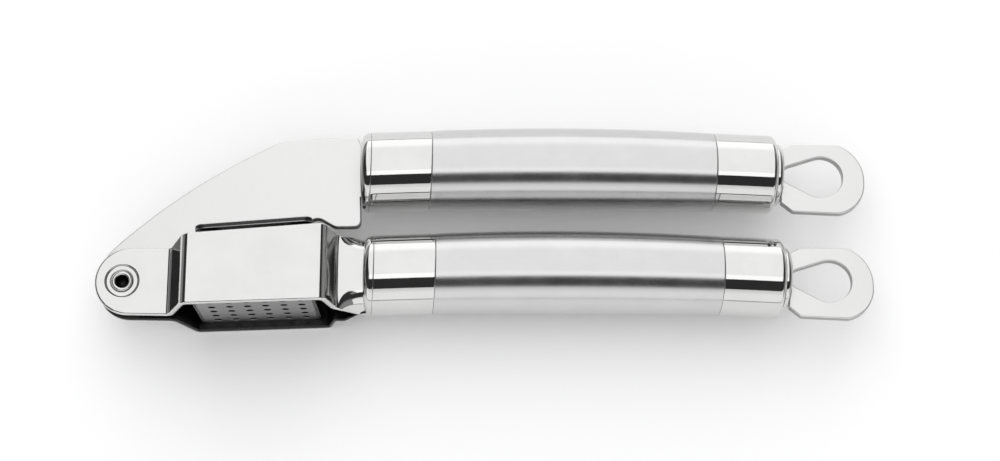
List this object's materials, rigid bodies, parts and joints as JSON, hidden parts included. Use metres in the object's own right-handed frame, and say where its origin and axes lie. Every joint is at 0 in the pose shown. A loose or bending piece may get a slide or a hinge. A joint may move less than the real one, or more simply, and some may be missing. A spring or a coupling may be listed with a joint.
{
  "type": "garlic press",
  "caption": "All-steel garlic press with arched tubular handles, hanging loops, a boxed garlic chamber with a perforated sieve and a swinging plunger on a flat arm.",
  "frame": {"origin": "centre of the bounding box's footprint, on the plane that the far chamber wall lies on", "axes": "+X along the handles from the pivot to the hanging loops, +Y from the lower lever to the upper lever, +Z along the pivot rivet"},
  "size_m": [0.1853, 0.0479, 0.0274],
  "materials": {
    "polished_sheet": "mirror-polished stainless sheet",
    "polished_tube": "mirror-polished stainless tube",
    "satin_steel": "satin, fine lengthwise brushing",
    "arm_steel": "fine bead-blasted to semi-polished plate",
    "pressed_steel": "plain pressed stainless, lightly polished",
    "rivet_steel": "polished rivet"
  },
  "bodies": {
    "lower_lever": {"near_cheek": "polished_sheet", "far_cheek": "polished_sheet", "sieve_basket": "pressed_steel", "pivot_rivet": "rivet_steel", "lower_front_cap": "polished_tube", "lower_front_ferrule": "polished_tube", "lower_grip_sleeve": "satin_steel", "lower_rear_ferrule": "polished_tube", "lower_end_disc": "polished_tube", "lower_hanging_loop": "arm_steel"},
    "upper_lever": {"arm_plate": "arm_steel", "upper_front_cap": "polished_tube", "upper_front_ferrule": "polished_tube", "upper_grip_sleeve": "satin_steel", "upper_rear_ferrule": "polished_tube", "upper_end_disc": "polished_tube", "upper_hanging_loop": "arm_steel"},
    "plunger": {"plunger_foot": "pressed_steel", "near_plunger_bracket": "pressed_steel", "far_plunger_bracket": "pressed_steel", "plunger_pin": "rivet_steel"}
  },
  "joints": [
    {"name": "lever_hinge", "type": "hinge", "parent": "lower_lever", "child": "upper_lever", "pos_m": [-0.0858, -0.0145, 0.0137], "axis": [0, 0, 1], "range_deg": [0, 110]},
    {"name": "plunger_swing", "type": "hinge", "parent": "upper_lever", "child": "plunger", "pos_m": [-0.0548, -0.0123, 0.0137], "axis": [0, 0, 1], "range_deg": [-27.5, 0]}
  ],
  "couplings": [
    {"joint": "plunger_swing", "follows": "lever_hinge", "ratio": -0.25}
  ]
}
